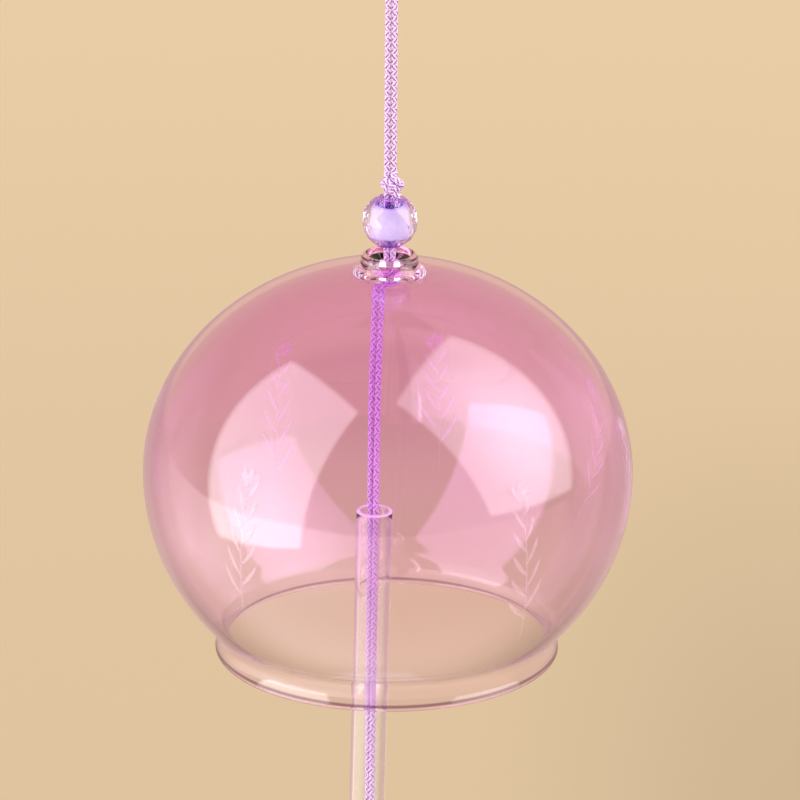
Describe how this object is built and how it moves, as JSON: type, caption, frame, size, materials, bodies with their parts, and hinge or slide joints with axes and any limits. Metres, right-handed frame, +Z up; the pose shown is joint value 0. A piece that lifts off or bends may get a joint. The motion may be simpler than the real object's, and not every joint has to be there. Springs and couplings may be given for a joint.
{
  "type": "wind bell",
  "caption": "Pink glass wind bell on a doubled cord, with a violet bead over its neck, a glass tube clapper inside and a paper strip that catches the wind.",
  "frame": {"origin": "The lowest place of the hook that the hanging loop hangs on, on the bell's axis.", "axes": "+Z is up along the bell's axis, +X is to the right as seen from the front, and the front faces -Y."},
  "size_m": [0.08, 0.08, 0.3329],
  "materials": {
    "pink_glass": "polished",
    "clear_glass": "polished",
    "violet_bead": "gloss",
    "pale_bead": "satin",
    "lilac_cord": "woven",
    "paper": "matte"
  },
  "bodies": {
    "hanger": {"hanging_loop": "lilac_cord", "top_knot": "lilac_cord"},
    "bead": {"bead_shell": "violet_bead", "bead_core": "pale_bead"},
    "neck": {"neck_cord": "lilac_cord"},
    "bell": {"glass_bell": "pink_glass"},
    "stop": {"stop_knot": "lilac_cord"},
    "clapper": {"clapper_cord": "lilac_cord"},
    "tube": {"clapper_tube": "clear_glass"},
    "lower_knot": {"clapper_knot": "lilac_cord"},
    "paper": {"tail_loop": "lilac_cord", "paper_strip": "paper"}
  },
  "joints": [
    {"name": "bead_spin", "type": "hinge", "parent": "hanger", "child": "bead", "pos_m": [0, 0, -0.07034], "axis": [0, 0, 1], "continuous": true},
    {"name": "bell_turn", "type": "hinge", "parent": "hanger", "child": "neck", "pos_m": [0, 0, -0.064], "axis": [0, 0, 1], "continuous": true},
    {"name": "bell_rock", "type": "hinge", "parent": "neck", "child": "bell", "pos_m": [0, 0, -0.08003], "axis": [0, 1, 0], "range_deg": [-10, 10]},
    {"name": "clapper_turn", "type": "hinge", "parent": "bell", "child": "stop", "pos_m": [0, 0, -0.08003], "axis": [0, 0, 1], "continuous": true},
    {"name": "clapper_swing", "type": "hinge", "parent": "stop", "child": "clapper", "pos_m": [0, 0, -0.08003], "axis": [0, 1, 0], "range_deg": [-22.5, 17.5]},
    {"name": "tube_lift", "type": "slide", "parent": "clapper", "child": "tube", "axis": [0, 0, 1], "range_m": [0, 0.036]},
    {"name": "paper_turn", "type": "hinge", "parent": "clapper", "child": "lower_knot", "pos_m": [-0.0024, 0, -0.18812], "axis": [0, 0, 1], "continuous": true},
    {"name": "paper_swing", "type": "hinge", "parent": "lower_knot", "child": "paper", "pos_m": [-0.0024, 0, -0.18812], "axis": [1, 0, 0], "range_deg": [-75, 75]}
  ]
}
